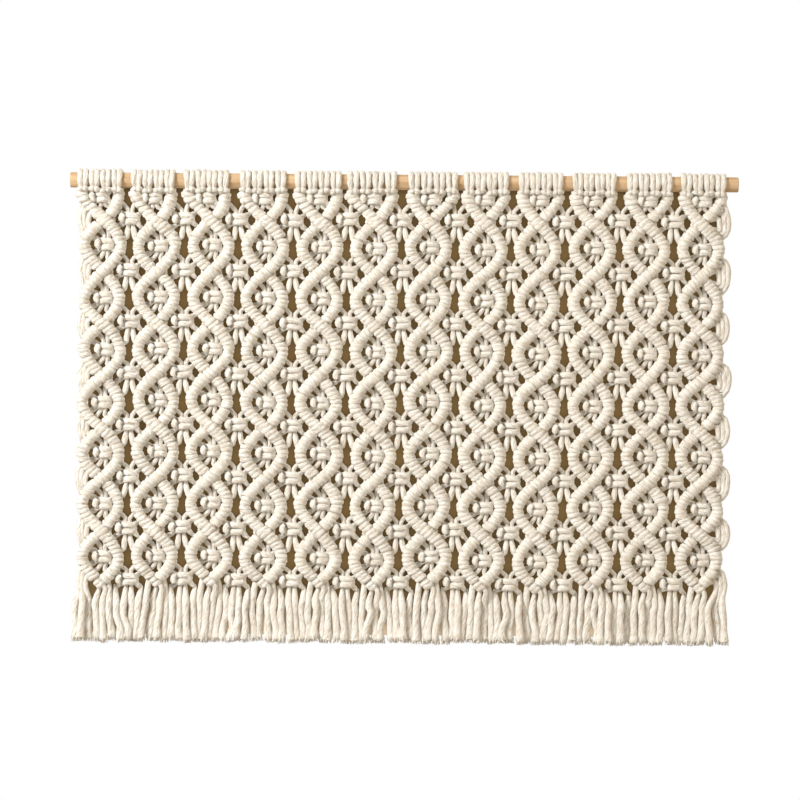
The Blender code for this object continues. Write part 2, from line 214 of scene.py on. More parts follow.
# How far each column hangs below a level line, and how far its heading has been
# pushed along the rod, in millimetres, and how wide the heading is.
COLUMN_DROP = [0.5, -1.8, -1.6, 0.0, -0.6, 0.8, -1.2, 1.0, 2.2, 0.6, 0.8, 0.8]
HEADING_DRIFT = [-1.4, -3.2, -4.8, -3.2, -3.2, -4.4, 1.2, -0.5, -0.9, -2.3, -2.3, -3.2]
HEADING_WIDE = [0.98, 0.95, 0.98, 1.02, 1.02, 1.09, 1.08, 0.98, 0.97, 0.95, 0.99, 0.99]
DROP_OVER = 3 * EYE_PITCH       # the height over which a column comes to its drop


def smooth(value):
    value = min(max(value, 0.0), 1.0)
    return value * value * (3 - 2 * value)


def crossing_z(row):
    return FIRST_CROSSING - row * EYE_PITCH


def net_place(column, place):
    """From a column's own (u, d, z) to the frame's x, y, z. A column of 2.5 is a seam."""
    u, d, z = place
    near = min(int(column), COLUMNS - 2)
    part = column - near
    middle = COLUMN_X[near] + COLUMN_PITCH * part
    drop = (COLUMN_DROP[near] * (1 - part) + COLUMN_DROP[near + 1] * part) * MM
    settled = smooth((NET_SETTLES[0] - z) / (NET_SETTLES[0] - NET_SETTLES[1]))
    low = smooth((z - FRINGE_FOOT) / (FRINGE_TOP - FRINGE_FOOT))
    lower = smooth((NET_SETTLES[1] - z) / DROP_OVER)
    pushed = HEADING_DRIFT[near] * (1 - part) + HEADING_DRIFT[near + 1] * part
    wide = HEADING_WIDE[near] * (1 - part) + HEADING_WIDE[near + 1] * part
    loose = u * (wide - 1) + pushed * MM
    x = middle + u + (1 - settled) * loose + settled * (middle * (NET_SQUEEZE - 1) + NET_SHIFT)
    stray = noise.noise_vector(Vector((x, SEED, z)) / WANDER_SIZE) * WANDER * settled * low
    return x + stray.x, -d + stray.y * WANDER_DEEP, z - drop * lower * low + stray.z


# ---------------------------------------------------------------- cord routes

class Route:
    """A cord's middle line: places, outward directions and half sizes."""

    def __init__(self, column, chance):
        self.column = column
        self.chance = chance
        self.rows = []

    def to(self, place, out=(0.0, 1.0, 0.0), wide=CORD_HALF, thick=CORD_THICK, column=None,
           loose=LOOSE):
        """Go on to a place, a little off it, as hands tie."""
        place = [p + self.chance.gauss(0, loose) for p in place]
        x, y, z = net_place(self.column if column is None else column, place)
        spread = 1 + self.chance.gauss(0, UNEVEN)
        self.rows.append((x, y, z, out[0], -out[1], out[2], wide * spread, thick / spread))


def bar_line(row, side):
    """Middle line of a bar as (u, z) places a short step apart."""
    if row < 0:
        share = np.linspace(0.0, 1.0, 60)[:, None]
        top, bend = np.array(ARM_TOP), np.array(ARM_BEND)
        line = (1 - share) ** 2 * top + 2 * share * (1 - share) * bend + share ** 2 * [0, FIRST_CROSSING]
        return line * (side, 1)
    share = np.linspace(0.0, 1.0, 120)
    return np.stack([side * BAR_SWING[side] * np.sin(math.pi * share),
                     crossing_z(row) - EYE_PITCH * share], 1)


class Bar:
    """One bar between two crossings, measured along its middle line."""

    def __init__(self, row, side, is_over):
        self.row, self.side, self.is_over = row, side, is_over
        self.line = bar_line(row, side)
        steps = np.hypot(*np.diff(self.line, axis=0).T)
        self.far = np.concatenate([[0.0], np.cumsum(steps)])
        self.length = self.far[-1]
        start = OVER_START if is_over else UNDER_START
        wraps = BAR_WRAPS if row >= 0 else ARM_WRAPS
        first = start if row >= 0 else 0.0
        self.pitch = (self.length - start - first) / wraps
        self.first = first + self.pitch / 2

    def at(self, s):
        """(u, d, z) and the direction down the bar at a distance along it."""
        u = np.interp(s, self.far, self.line[:, 0])
        z = np.interp(s, self.far, self.line[:, 1])
        ahead = min(s + MM, self.length)
        behind = max(ahead - 2 * MM, 0.0)
        du = np.interp(ahead, self.far, self.line[:, 0]) - np.interp(behind, self.far, self.line[:, 0])
        dz = np.interp(ahead, self.far, self.line[:, 1]) - np.interp(behind, self.far, self.line[:, 1])
        size = math.hypot(du, dz)
        past = s - min(max(s, 0.0), self.length)
        u += past * du / size
        z += past * dz / size
        return (u, self.depth(s), z), (du / size, dz / size)

    def depth(self, s):
        near = min(s, self.length - s) / (EYE_PITCH / 2)
        lift = BAR_LIFT if self.is_over else -BAR_LIFT
        return BAR_DEPTH + lift * (1 - smooth(near))

    def wrap(self, index):
        return self.first + index * self.pitch

    def reach(self, s):
        """From the bar's middle to the middle of a cord round it."""
        near = min(s, self.length - s) / (EYE_PITCH / 4)
        return WRAP_REACH + (OVER_FULLER * (1 - smooth(near)) if self.is_over else 0.0)

    def away(self, down):
        """The direction square to the bar, out from the column's middle."""
        return -down[1] * self.side, down[0] * self.side


# Turns of a double half hitch, in degrees, from the side that the cord comes
# from (0) by the back (-90) round and round, and how far along the bar after so
# many degrees, as a share of the distance between its two wraps.
HITCH_TURNS = [-62, -90, -135, -180, -225, -270, -315, -360, -405, -450, -495, -540, -585,
               -630, -675, -720, -765, -810, -840]
HITCH_SHIFT = ([90, 270, 450, 630, 810], [-0.17, 0.0, 0.5, 1.0, 1.17])
HITCH_STRAY = 0.22 * MM         # along the bar
HITCH_LOOSE = 0.18 * MM         # away from it
HITCH_LEAN = 0.12               # how much its front slants, and how much that varies
HITCH_END = 1.0 * MM            # its two ends stand this much farther off the bar
HITCH_BACK = 0.4 * MM           # and its back this much closer


def hitch(route, bar, first, second, coming):
    """Two wraps round a bar, from the side coming (a direction in the column's plane)."""
    chance = route.chance
    first += chance.gauss(0, HITCH_STRAY)
    second += chance.gauss(0, HITCH_STRAY)
    reach = bar.reach(first) + chance.gauss(0, HITCH_LOOSE)
    lean = chance.gauss(HITCH_LEAN, HITCH_LEAN)
    gap = second - first
    for turn in HITCH_TURNS:
        angle = math.radians(turn)
        side, out = math.cos(angle), math.sin(angle)
        shift = np.interp(-turn, *HITCH_SHIFT)
        (u, d, z), down = bar.at(first + gap * (shift + lean * side * max(out, 0.0)))
        across = (-down[1], down[0])
        if across[0] * coming[0] + across[1] * coming[1] < 0:
            across = (-across[0], -across[1])
        back = max(-out, 0.0)
        at_end = turn in (HITCH_TURNS[0], HITCH_TURNS[-1])
        far = reach + (HITCH_END if at_end else -HITCH_BACK * back)
        place = (u + across[0] * side * far, d + out * far, z + across[1] * side * far)
        wide = bar.pitch * WRAP_WIDE * (1 - back) + WRAP_BACK * back
        route.to(place, (across[0] * side, out, across[1] * side), wide, WRAP_THICK,
                 loose=LOOSE_HITCH)


# The left cord of a square knot: over the middle cords, round, and back.
# Places are (u, z, d) in millimetres from the knot's middle.
KNOT_LEFT = [(-10.6, 5.4, -3.4), (-8.6, 4.7, -3.2), (-6.6, 3.8, -2.3), (-4.8, 3.2, -0.2),
             (-3.3, 2.9, 2.4), (-1.2, 2.8, 3.9), (1.6, 2.7, 4.2), (4.0, 2.6, 3.8), (5.6, 1.9, 2.8),
             (6.2, 0.0, 2.0), (5.6, -2.2, 2.8), (4.0, -2.9, 3.8), (1.6, -3.0, 4.2), (-1.4, -3.0, 3.9),
             (-3.4, -3.2, 2.4), (-4.9, -4.2, -0.2), (-6.6, -5.5, -2.0), (-8.6, -6.6, -2.9),
             (-10.6, -7.4, -3.4)]
# The right cord: over the left one, behind, up on the left, and back behind.
KNOT_RIGHT = [(10.6, 6.2, -2.4), (8.7, 5.0, -1.2), (7.0, 3.8, 0.6), (5.7, 2.2, 1.8), (4.9, 0.8, 0.0),
              (3.6, 0.4, -2.8), (0.0, 0.6, -3.9), (-3.6, 0.9, -2.8), (-5.3, 1.4, 0.0), (-6.0, 2.4, 2.6),
              (-7.0, 2.8, 3.6), (-8.0, 1.5, 4.2), (-8.4, -0.4, 4.3), (-8.1, -2.1, 4.0), (-7.2, -3.2, 3.0),
              (-6.0, -2.8, 1.4), (-5.1, -1.2, -0.4), (-3.6, -0.8, -2.8), (0.0, -0.7, -3.9),
              (3.6, -0.6, -2.8), (4.9, -1.0, 0.0), (5.8, -2.8, 1.8), (7.0, -5.0, 1.0), (8.8, -7.0, -0.8),
              (10.4, -8.2, -2.2)]
KNOT_MIDDLE = [(2.2, 8.8, -0.4), (2.0, 5.4, 0.0), (1.95, 0.0, 0.0), (2.0, -5.4, 0.0), (2.2, -8.4, -0.4)]


def square_knot(route, part, side, middle, scale, column=None):
    """One cord's way through a square knot. part is left, right or middle."""
    for u, z, d in {"left": KNOT_LEFT, "right": KNOT_RIGHT, "middle": KNOT_MIDDLE}[part]:
        if part == "middle":
            u = u * side
            wide, thick, out = CORD_HALF * MIDDLE_SLIM[0], CORD_THICK * MIDDLE_SLIM[1], (0.0, 1.0, 0.0)
        else:
            size = math.hypot(u * KNOT_ASIDE, d)
            out = (u * KNOT_ASIDE / size, d / size, 0.0)
            wide = BUMP_HALF if u < BUMP_FROM[0] and d > BUMP_FROM[1] else KNOT_HALF
            thick = KNOT_THICK if d > 0 else KNOT_THICK * KNOT_BACK
        place = (middle[0] + u * MM * scale[0], middle[1] + d * MM, middle[2] + z * MM * scale[1])
        route.to(place, out, wide, thick, column)


# Below a joining knot its middle cords run straight down, side by side, to the
# bars' widest places: millimetres from the seam and below the crossing, left and right.
RUN_DOWN = {-1: [(2.8, 9.0), (3.5, 13.0), (4.7, 16.4)], 1: [(2.7, 8.5), (3.6, 12.5), (4.9, 16.0)]}
# Past the net's sides the cords hang in shallow loops that hug the bars, by
# rank: millimetres from the column's middle and above the crossing.
EDGE_LOOP = {1: [(21.6, 13.0), (24.3, 7.0), (24.8, 0.0), (22.6, -9.0)],
             2: [(19.6, 9.5), (21.2, 2.0), (20.2, -7.5)],
             3: [(14.8, 5.5), (17.0, 0.0), (15.8, -5.5)]}
EDGE_LEFT = 0.83                # narrower by this on the left
EDGE_TOP = (18.6 * MM, 20.0 * MM)   # the outermost starts right under the heading
RUN_DEPTH = -0.8 * MM           # cords outside the bars lie this far forward
BESIDE_CROSSING = (7.3 * MM, -1.4 * MM)     # where a column's innermost cords pass a crossing (u, d)
LAST_STEP = 5.0 * MM            # a carrier's way from the last crossing, aside and down


# ---------------------------------------------------------------- one cord

def over_side(row):
    """The side on which the first cord's bar lies in an eye: it swings like an S."""
    return 1 if row % 2 == 0 else -1


def bars_of(row):
    """The two bars of an eye by side. The first cord's is on top at both crossings."""
    if row < 0:
        return {-1: Bar(row, -1, True), 1: Bar(row, 1, False)}
    return {side: Bar(row, side, side == over_side(row)) for side in (-1, 1)}


BARS = {row: bars_of(row) for row in range(-1, EYES)}


def heading(route, cord):
    """From the middle of the cord, in front under the dowel, up behind it and over."""
    leg = (cord - 4.5) * LEG_PITCH
    knot = (math.ceil(cord / 2) - 2.5) * WRAP_PITCH
    side = 1 if leg > knot else -1
    pair = random.Random(SEED * 1000 + route.column * 10 + math.ceil(cord / 2))
    rise, tilt = pair.uniform(*KNOT_RISES), pair.uniform(-KNOT_TILT, KNOT_TILT)
    returns = (KNOT_RETURNS[0] * side, KNOT_RETURNS[1], KNOT_RETURNS[2])
    for index, (u, d, z) in enumerate(KNOT_FRONT):
        out = (0.0, 1.0, 0.0) if index < 2 else returns
        z += rise + tilt * side * u
        route.to((knot + side * u * MM, d * MM, z * MM), out, *KNOT_FRONT_SIZE)
    for turn in LEG_TURNS:
        angle = math.radians(turn)
        out = (0.0, math.cos(angle), math.sin(angle))
        behind = smooth((turn - LEG_PARTS[1]) / (LEG_PARTS[0] - LEG_PARTS[1]))
        lean = smooth((LEGS_LEAN[0] - turn) / (LEGS_LEAN[0] - LEGS_LEAN[1]))
        u = leg + (knot + side * LEG_BEHIND - leg) * behind
        u += (knot - leg) * LEGS_MEET[0] * lean
        route.to((u, LEG_REACH * out[1], LEG_REACH * out[2]), out, *LEG_SIZE, loose=LOOSE_LEG)
    tuck = leg + (knot - leg) * LEGS_MEET[1]
    route.to((tuck, *TUCK_UNDER), wide=TUCK_SIZE[0], thick=TUCK_SIZE[1])
    if rank_of(cord) < 2:
        route.to((tuck, *TUCK_DOWN))


def rank_of(cord):
    """0 for a column's two outer cords, which carry the bars, up to 3 in the middle."""
    return cord - 1 if cord <= 4 else 8 - cord


def down_route(column, cord, chance):
    """The whole way of a cord that isn't a carrier."""
    route = Route(column, chance)
    side = -1 if cord <= 4 else 1
    rank = rank_of(cord)
    heading(route, cord)
    hand = "left" if side < 0 else "right"
    if rank > 1:
        part = "middle" if rank == 3 else hand
        square_knot(route, part, side, (0.0, HALF_KNOT_DEPTH, HALF_KNOT_Z), HALF_KNOT_SCALE)
    arm = BARS[-1][side]
    index = 2 * (rank - 1)
    tie_lower(route, arm, index)
    for row in range(EYES):
        join(route, column, cord, side, rank, row)
        bar = BARS[row][side]
        tie_upper(route, bar, 2 * (3 - rank))
        if rank > 1:
            part = "middle" if rank == 3 else hand
            z = crossing_z(row) - EYE_PITCH / 2 + EYE_KNOT_RISE
            middle = (EYE_KNOT_SHIFT, EYE_KNOT_DEPTH, z)
            if rank == 3:
                beside_pit(route, side, z, 1)
            square_knot(route, part, side, middle, EYE_KNOT_SCALE)
            if rank == 3:
                beside_pit(route, side, z, -1)
        tie_lower(route, bar, 6 + index)
    join(route, column, cord, side, rank, EYES)
    fringe(route, cord)
    return route


def beside_pit(route, side, z, above):
    """A knot's middle cords part round the small hole between it and the crossing."""
    place = (PIT_SHIFT + side * PIT_HALF, PIT_DEPTH, z + above * PIT_AWAY)
    route.to(place, wide=CORD_HALF * MIDDLE_SLIM[0], thick=CORD_THICK * MIDDLE_SLIM[1])


def tie_upper(route, bar, index):
    """A hitch on a bar's upper half, by a cord that comes from outside."""
    _, down = bar.at(bar.wrap(index))
    hitch(route, bar, bar.wrap(index), bar.wrap(index + 1), bar.away(down))


def tie_lower(route, bar, index):
    """A hitch on a bar's lower half, by a cord that comes from the eye."""
    _, down = bar.at(bar.wrap(index))
    away = bar.away(down)
    hitch(route, bar, bar.wrap(index), bar.wrap(index + 1), (-away[0], -away[1]))


def join(route, column, cord, side, rank, row):
    """Past a crossing: through the knot between two columns, or beside the crossing."""
    z = crossing_z(row)
    if not 0 <= column + side < COLUMNS:
        if row == 0 and rank == 1:
            route.to((side * EDGE_TOP[0], RUN_DEPTH, z + EDGE_TOP[1]))
        for off, rise in EDGE_LOOP[rank]:
            out = off * MM * (EDGE_LEFT if side < 0 else 1.0)
            route.to((side * out, RUN_DEPTH, z + rise * MM))
    elif rank == 3:
        route.to((side * BESIDE_CROSSING[0], BESIDE_CROSSING[1], z))
    else:
        seam = column + side / 2
        part = "middle" if rank == 1 else ("right" if side < 0 else "left")
        middle = (0.0, JOIN_KNOT_DEPTH, z + JOIN_RISE)
        square_knot(route, part, -side, middle, JOIN_KNOT_SCALE, seam)
        if rank == 1 and row < EYES:
            for off, drop in RUN_DOWN[-side]:
                route.to((-side * off * MM, RUN_DEPTH, z - drop * MM), column=seam)


# The order in which a column's cords hang in the fringe.
FRINGE_ORDER = [2, 3, 4, 1, 8, 5, 6, 7]


def fringe(route, cord):
    """Down to the cord's cut end."""
    chance = route.chance
    place = (FRINGE_ORDER.index(cord) - 3.5) * COLUMN_PITCH / 8
    x = COLUMN_X[route.column] + place
    swing = noise.noise(Vector((x / FRINGE_SWAY_SIZE, SEED, 0.5))) * FRINGE_SWAY
    swing += chance.gauss(0, FRINGE_STRAY)
    curl = chance.gauss(0, FRINGE_CURL)
    foot = FRINGE_FOOT + chance.uniform(-1.0, 1.0) * MM
    depth = chance.uniform(*FRINGE_DEPTHS) * MM
    for share in FRINGE_SHARES:
        z = FRINGE_TOP + (foot - FRINGE_TOP) * share
        u = place + curl * math.sin(share * FRINGE_WAVE) + swing * share
        opened = smooth((share - 0.7) * 3.3)        # over its last third
        wide = FRINGE_HALF * (FRINGE_OPENS[0] + FRINGE_OPENS[1] * opened)
        route.to((u, depth, z), wide=wide, thick=FRINGE_THICK, loose=LOOSE_FRINGE)


def brush(route, tone):
    """The threads that come loose at a cord's cut end, as thin tubes."""
    chance = route.chance
    end = np.array(route.rows[-1][:3])
    along = end - np.array(route.rows[-2][:3])
    along /= np.linalg.norm(along)
    begin = float(end[0]) * THREAD_BEGINS[0]
    made = []
    for index in range(THREADS):
        turn = index * GOLDEN_TURN + chance.uniform(-THREAD_STRAY, THREAD_STRAY)
        away = math.sqrt((index + 0.5) / THREADS)
        aside = np.array([math.cos(turn) * FRINGE_HALF, math.sin(turn) * FRINGE_THICK, 0.0]) * away
        length = THREAD_LENGTH * chance.uniform(*THREAD_VARIES)
        spread = chance.uniform(*THREAD_SPREAD)
        rows = []
        for share, half in THREAD_HALVES:
            place = (end + along * length * (share - THREAD_INSIDE)
                     + aside * (THREAD_ROOT + (spread - THREAD_ROOT) * share))
            rows.append((*place, 0.0, -1.0, 0.0, half, half * THREAD_FLAT))
        made.append(tube(rows, tone, THREAD_SIDES, begin + index * THREAD_BEGINS[1], THREAD_TURNS))
    return made


def carrier_route(column, cord, chance):
    """The way of an outer cord, which the bars are tied on."""
    route = Route(column, chance)
    heading(route, cord)
    side = -1 if cord == 1 else 1
    carrier_on_bar(route, BARS[-1][side])
    for row in range(EYES + 1):
        is_over = (cord == 1) != (row == EYES)
        came = -1 if (cord == 1) == (row % 2 == 0) else 1
        if not is_over:
            cross(route, row, came)
        if row < EYES:
            carrier_on_bar(route, BARS[row][-came])
        elif is_over:
            z = crossing_z(row)
            place = (-came * LAST_STEP, BAR_DEPTH + BAR_LIFT, z - LAST_STEP)
            route.to(place, wide=CARRIER, thick=CARRIER)
    fringe(route, cord)
    return route


def carrier_on_bar(route, bar):
    """Straight along a bar's middle line, inside its wraps."""
    count = BAR_PLACES if bar.row >= 0 else BAR_PLACES // 2
    for index in range(count):
        share = (index + 0.7) / (count + 0.4)
        place, _ = bar.at(bar.length * share)
        route.to(place, wide=CARRIER, thick=CARRIER, loose=0.0)


def cross(route, row, came):
    """The bar beneath ends here: its cord takes two turns round the bar on top."""
    over = BARS[row - 1][-came]
    middle = over.length
    half = OVER_START / 2
    hitch(route, over, middle - half, middle + half, (came, 1.0))


# ---------------------------------------------------------------- meshes

SIDES = 8                       # of a cord's tube
THREAD_SIDES = 4                # and of a thread's
FLATNESS = 0.85                 # 1 is an ellipse; less is squarer, as in cords pressed together
FINE_STEP = 0.6 * MM            # between places on the curve
MOST_TURN = math.radians(27)    # and between the rings that are kept
MOST_STEP = 5.0 * MM


def spline(rows):
    """Finely spaced rows on a smooth curve through the route's rows."""
    rows = np.array(rows)
    for index in range(1, len(rows)):
        if rows[index, 3:6] @ rows[index - 1, 3:6] < 0:
            rows[index, 3:6] *= -1
    ends = np.vstack([2 * rows[0] - rows[1], rows, 2 * rows[-1] - rows[-2]])
    gaps = np.linalg.norm(np.diff(rows[:, :3], axis=0), axis=1)
    out = []
    for index, gap in enumerate(gaps):
        a, b, c, d = ends[index:index + 4]
        count = max(int(gap / FINE_STEP), 2)
        t = (np.arange(count) / count)[:, None]
        out.append(0.5 * (2 * b + (c - a) * t + (2 * a - 5 * b + 4 * c - d) * t ** 2
                          + (3 * b - a - 3 * c + d) * t ** 3))
    out.append(rows[-1:])
    return np.vstack(out)


def thin_out(rows):
    """Keep the rows that a bend needs."""
    step = np.diff(rows[:, :3], axis=0)
    length = np.linalg.norm(step, axis=1)
    along = step / np.maximum(length, 1e-9)[:, None]
    turn = np.arccos(np.clip((along[1:] * along[:-1]).sum(1), -1, 1))
    keep, turned, gone = [0], 0.0, 0.0
    for index in range(1, len(rows) - 1):
        turned += turn[index - 1]
        gone += length[index - 1]
        if turned > MOST_TURN or gone > MOST_STEP:
            keep.append(index)
            turned = gone = 0.0
    keep.append(len(rows) - 1)
    return rows[keep], np.concatenate([[0], np.cumsum(length)])[keep]


def tube(rows, tone, sides=SIDES, begin=0.0, turns=1.0):
    """Points, faces, each corner's place round and along the cord, the points' tone, and which
    faces are round. The pattern starts at begin, and turns of its ring go round the tube."""
    rows, far = thin_out(spline(rows))
    far = far + begin
    place, out, wide, thick = rows[:, :3], rows[:, 3:6], rows[:, 6], rows[:, 7]
    along = np.gradient(place, axis=0)
    along /= np.linalg.norm(along, axis=1)[:, None]
    out = out - (out * along).sum(1)[:, None] * along
    out /= np.linalg.norm(out, axis=1)[:, None]
    across = np.cross(along, out)
    turn = np.arange(sides) * 2 * math.pi / sides
    flat = np.sign(np.cos(turn)) * np.abs(np.cos(turn)) ** FLATNESS
    points = (place[:, None] + across[:, None] * (wide[:, None] * flat)[..., None]
              + out[:, None] * (thick[:, None] * np.sin(turn))[..., None])
    rings = len(rows)
    base = np.arange(rings - 1)[:, None] * sides + np.arange(sides)
    after = np.arange(rings - 1)[:, None] * sides + (np.arange(sides) + 1) % sides
    quads = np.stack([base, base + sides, after + sides, after], -1).reshape(-1, 4)
    cap = np.array([(0, first, first + 1, first + 2) for first in range(1, sides - 2, 2)])
    is_round = np.arange(len(quads) + 2 * len(cap)) < len(quads)
    quads = np.vstack([quads, cap, cap[:, ::-1] + (rings - 1) * sides])
    ring_uv = np.arange(sides) / sides * turns
    shape = (rings - 1, sides)
    low, high = np.broadcast_to(far[:-1, None], shape), np.broadcast_to(far[1:, None], shape)
    left = np.broadcast_to(ring_uv, shape)
    right = left + turns / sides
    uv = np.stack([np.stack([left, low], -1), np.stack([left, high], -1),
                   np.stack([right, high], -1), np.stack([right, low], -1)], 2).reshape(-1, 2)
    uv = np.vstack([uv, np.tile([0.0, far[0]], (cap.size, 1)), np.tile([0.0, far[-1]], (cap.size, 1))])
    return points.reshape(-1, 3), quads, uv, np.full(rings * sides, tone), is_round


def mesh_of(name, tubes, material):
    """One object of many tubes."""
    points, quads, uv, tone, is_round = zip(*tubes)
    offsets = np.cumsum([0] + [len(part) for part in points[:-1]])
    quads = np.vstack([part + offset for part, offset in zip(quads, offsets)])
    points, uv, tone = np.vstack(points), np.vstack(uv), np.concatenate(tone)
    mesh = bpy.data.meshes.new(name)
    mesh.vertices.add(len(points))
    mesh.vertices.foreach_set("co", points.astype(np.float32).ravel())
    mesh.loops.add(quads.size)
    mesh.loops.foreach_set("vertex_index", quads.astype(np.int32).ravel())
    mesh.polygons.add(len(quads))
    mesh.polygons.foreach_set("loop_start", np.arange(0, quads.size, 4, dtype=np.int32))
    mesh.update(calc_edges=True)
    mesh.uv_layers.new(name="cord").data.foreach_set("uv", uv.astype(np.float32).ravel())
    mesh.attributes.new("tone", "FLOAT", "POINT").data.foreach_set("value", tone.astype(np.float32))
    mesh.materials.append(material)
    mesh.polygons.foreach_set("use_smooth", np.concatenate(is_round))
    mesh.validate()
    piece = bpy.data.objects.new(name, mesh)
    bpy.context.scene.collection.objects.link(piece)
    return piece


# ---------------------------------------------------------------- materials

def node(tree, kind, **values):
    made = tree.nodes.new(kind)
    for name, value in values.items():
        setattr(made, name, value)
    return made


def cotton_material():
    """Single-strand cotton: fine threads that lie along the cord with a slow twist, with painted shade in
    the hollows between them.
    """
    material = bpy.data.materials.new("cotton")
    material.use_nodes = True
    tree = material.node_tree
    shader = tree.nodes["Principled BSDF"]
    shader.inputs["Roughness"].default_value = 0.92
    shader.inputs["Sheen Weight"].default_value = 0.14
    shader.inputs["Sheen Roughness"].default_value = 0.5
    shader.inputs["Sheen Tint"].default_value = (*COTTON_SHEEN, 1)
    shader.inputs["Specular IOR Level"].default_value = 0.25
    place = node(tree, "ShaderNodeUVMap", uv_map="cord")
    parts = node(tree, "ShaderNodeSeparateXYZ")
    tree.links.new(place.outputs["UV"], parts.inputs[0])
    twist = node(tree, "ShaderNodeMath", operation="MULTIPLY_ADD")
    twist.inputs[1].default_value = COTTON_TWIST
    tree.links.new(parts.outputs["Y"], twist.inputs[0])
    tree.links.new(parts.outputs["X"], twist.inputs[2])
    angle = node(tree, "ShaderNodeMath", operation="MULTIPLY")
    angle.inputs[1].default_value = 2 * math.pi
    tree.links.new(twist.outputs[0], angle.inputs[0])
    ring = node(tree, "ShaderNodeCombineXYZ")
    for axis, operation in (("X", "COSINE"), ("Y", "SINE")):
        wave = node(tree, "ShaderNodeMath", operation=operation)
        tree.links.new(angle.outputs[0], wave.inputs[0])
        tree.links.new(wave.outputs[0], ring.inputs[axis])
    along = node(tree, "ShaderNodeMath", operation="MULTIPLY")
    along.inputs[1].default_value = COTTON_ALONG
    tree.links.new(parts.outputs["Y"], along.inputs[0])
    tree.links.new(along.outputs[0], ring.inputs["Z"])
    threads = node(tree, "ShaderNodeTexNoise")
    threads.inputs["Scale"].default_value = 2.0
    threads.inputs["Detail"].default_value = 4.0
    threads.inputs["Roughness"].default_value = 0.72
    tree.links.new(ring.outputs[0], threads.inputs["Vector"])
    bump = node(tree, "ShaderNodeBump")
    bump.inputs["Strength"].default_value = 1.0
    bump.inputs["Distance"].default_value = 0.0017
    tree.links.new(threads.outputs["Fac"], bump.inputs["Height"])
    tree.links.new(bump.outputs[0], shader.inputs["Normal"])
    # painted shade: the threads' noise darkens the colour where the bump's hollows lie
    ramp = node(tree, "ShaderNodeValToRGB")
    ramp.color_ramp.elements[0].position = 0.36
    ramp.color_ramp.elements[0].color = (*COTTON_HOLLOW_SHADE, 1)
    ramp.color_ramp.elements[1].position = 0.56
    ramp.color_ramp.elements[1].color = (*COTTON_LIGHT, 1)
    tree.links.new(threads.outputs["Fac"], ramp.inputs["Fac"])
    tone = node(tree, "ShaderNodeAttribute", attribute_name="tone")
    tint = node(tree, "ShaderNodeMix", data_type="RGBA", blend_type="MIX")
    tint.inputs["B"].default_value = (*COTTON_AGED, 1)
    tree.links.new(tone.outputs["Fac"], tint.inputs["Factor"])
    tree.links.new(ramp.outputs["Color"], tint.inputs["A"])
    tree.links.new(tint.outputs["Result"], shader.inputs["Base Color"])
    return material


def pine_material():
    """Bare pine with a fine grain along the rod."""
    material = bpy.data.materials.new("pine")
    material.use_nodes = True
    tree = material.node_tree
    shader = tree.nodes["Principled BSDF"]
    shader.inputs["Roughness"].default_value = 0.6
    place = node(tree, "ShaderNodeTexCoord")
    stretch = node(tree, "ShaderNodeMapping")
    stretch.inputs["Scale"].default_value = (12, 220, 220)
    tree.links.new(place.outputs["Object"], stretch.inputs["Vector"])
    grain = node(tree, "ShaderNodeTexNoise")
    grain.inputs["Scale"].default_value = 1.0
    grain.inputs["Detail"].default_value = 6.0
    tree.links.new(stretch.outputs[0], grain.inputs["Vector"])
    ramp = node(tree, "ShaderNodeValToRGB")
    ramp.color_ramp.elements[0].position = 0.3
    ramp.color_ramp.elements[0].color = (*PINE_DARK, 1)
    ramp.color_ramp.elements[1].position = 0.7
    ramp.color_ramp.elements[1].color = (*PINE_LIGHT, 1)
    tree.links.new(grain.outputs["Fac"], ramp.inputs["Fac"])
    tree.links.new(ramp.outputs["Color"], shader.inputs["Base Color"])
    bump = node(tree, "ShaderNodeBump")
    bump.inputs["Strength"].default_value = 0.2
    bump.inputs["Distance"].default_value = 0.0003
    tree.links.new(grain.outputs["Fac"], bump.inputs["Height"])
    tree.links.new(bump.outputs[0], shader.inputs["Normal"])
    return material


# ---------------------------------------------------------------- stage

def plain_material(name, colour, strength=0.0):
    """One dull colour, which also glows where a strength is given."""
    material = bpy.data.materials.new(name)
    material.use_nodes = True
    shader = material.node_tree.nodes["Principled BSDF"]
    shader.inputs["Base Color"].default_value = (*colour, 1)
    shader.inputs["Roughness"].default_value = 0.9
    shader.inputs["Specular IOR Level"].default_value = 0.0
    if strength:
        shader.inputs["Emission Color"].default_value = (*colour, 1)
        shader.inputs["Emission Strength"].default_value = strength
    return material


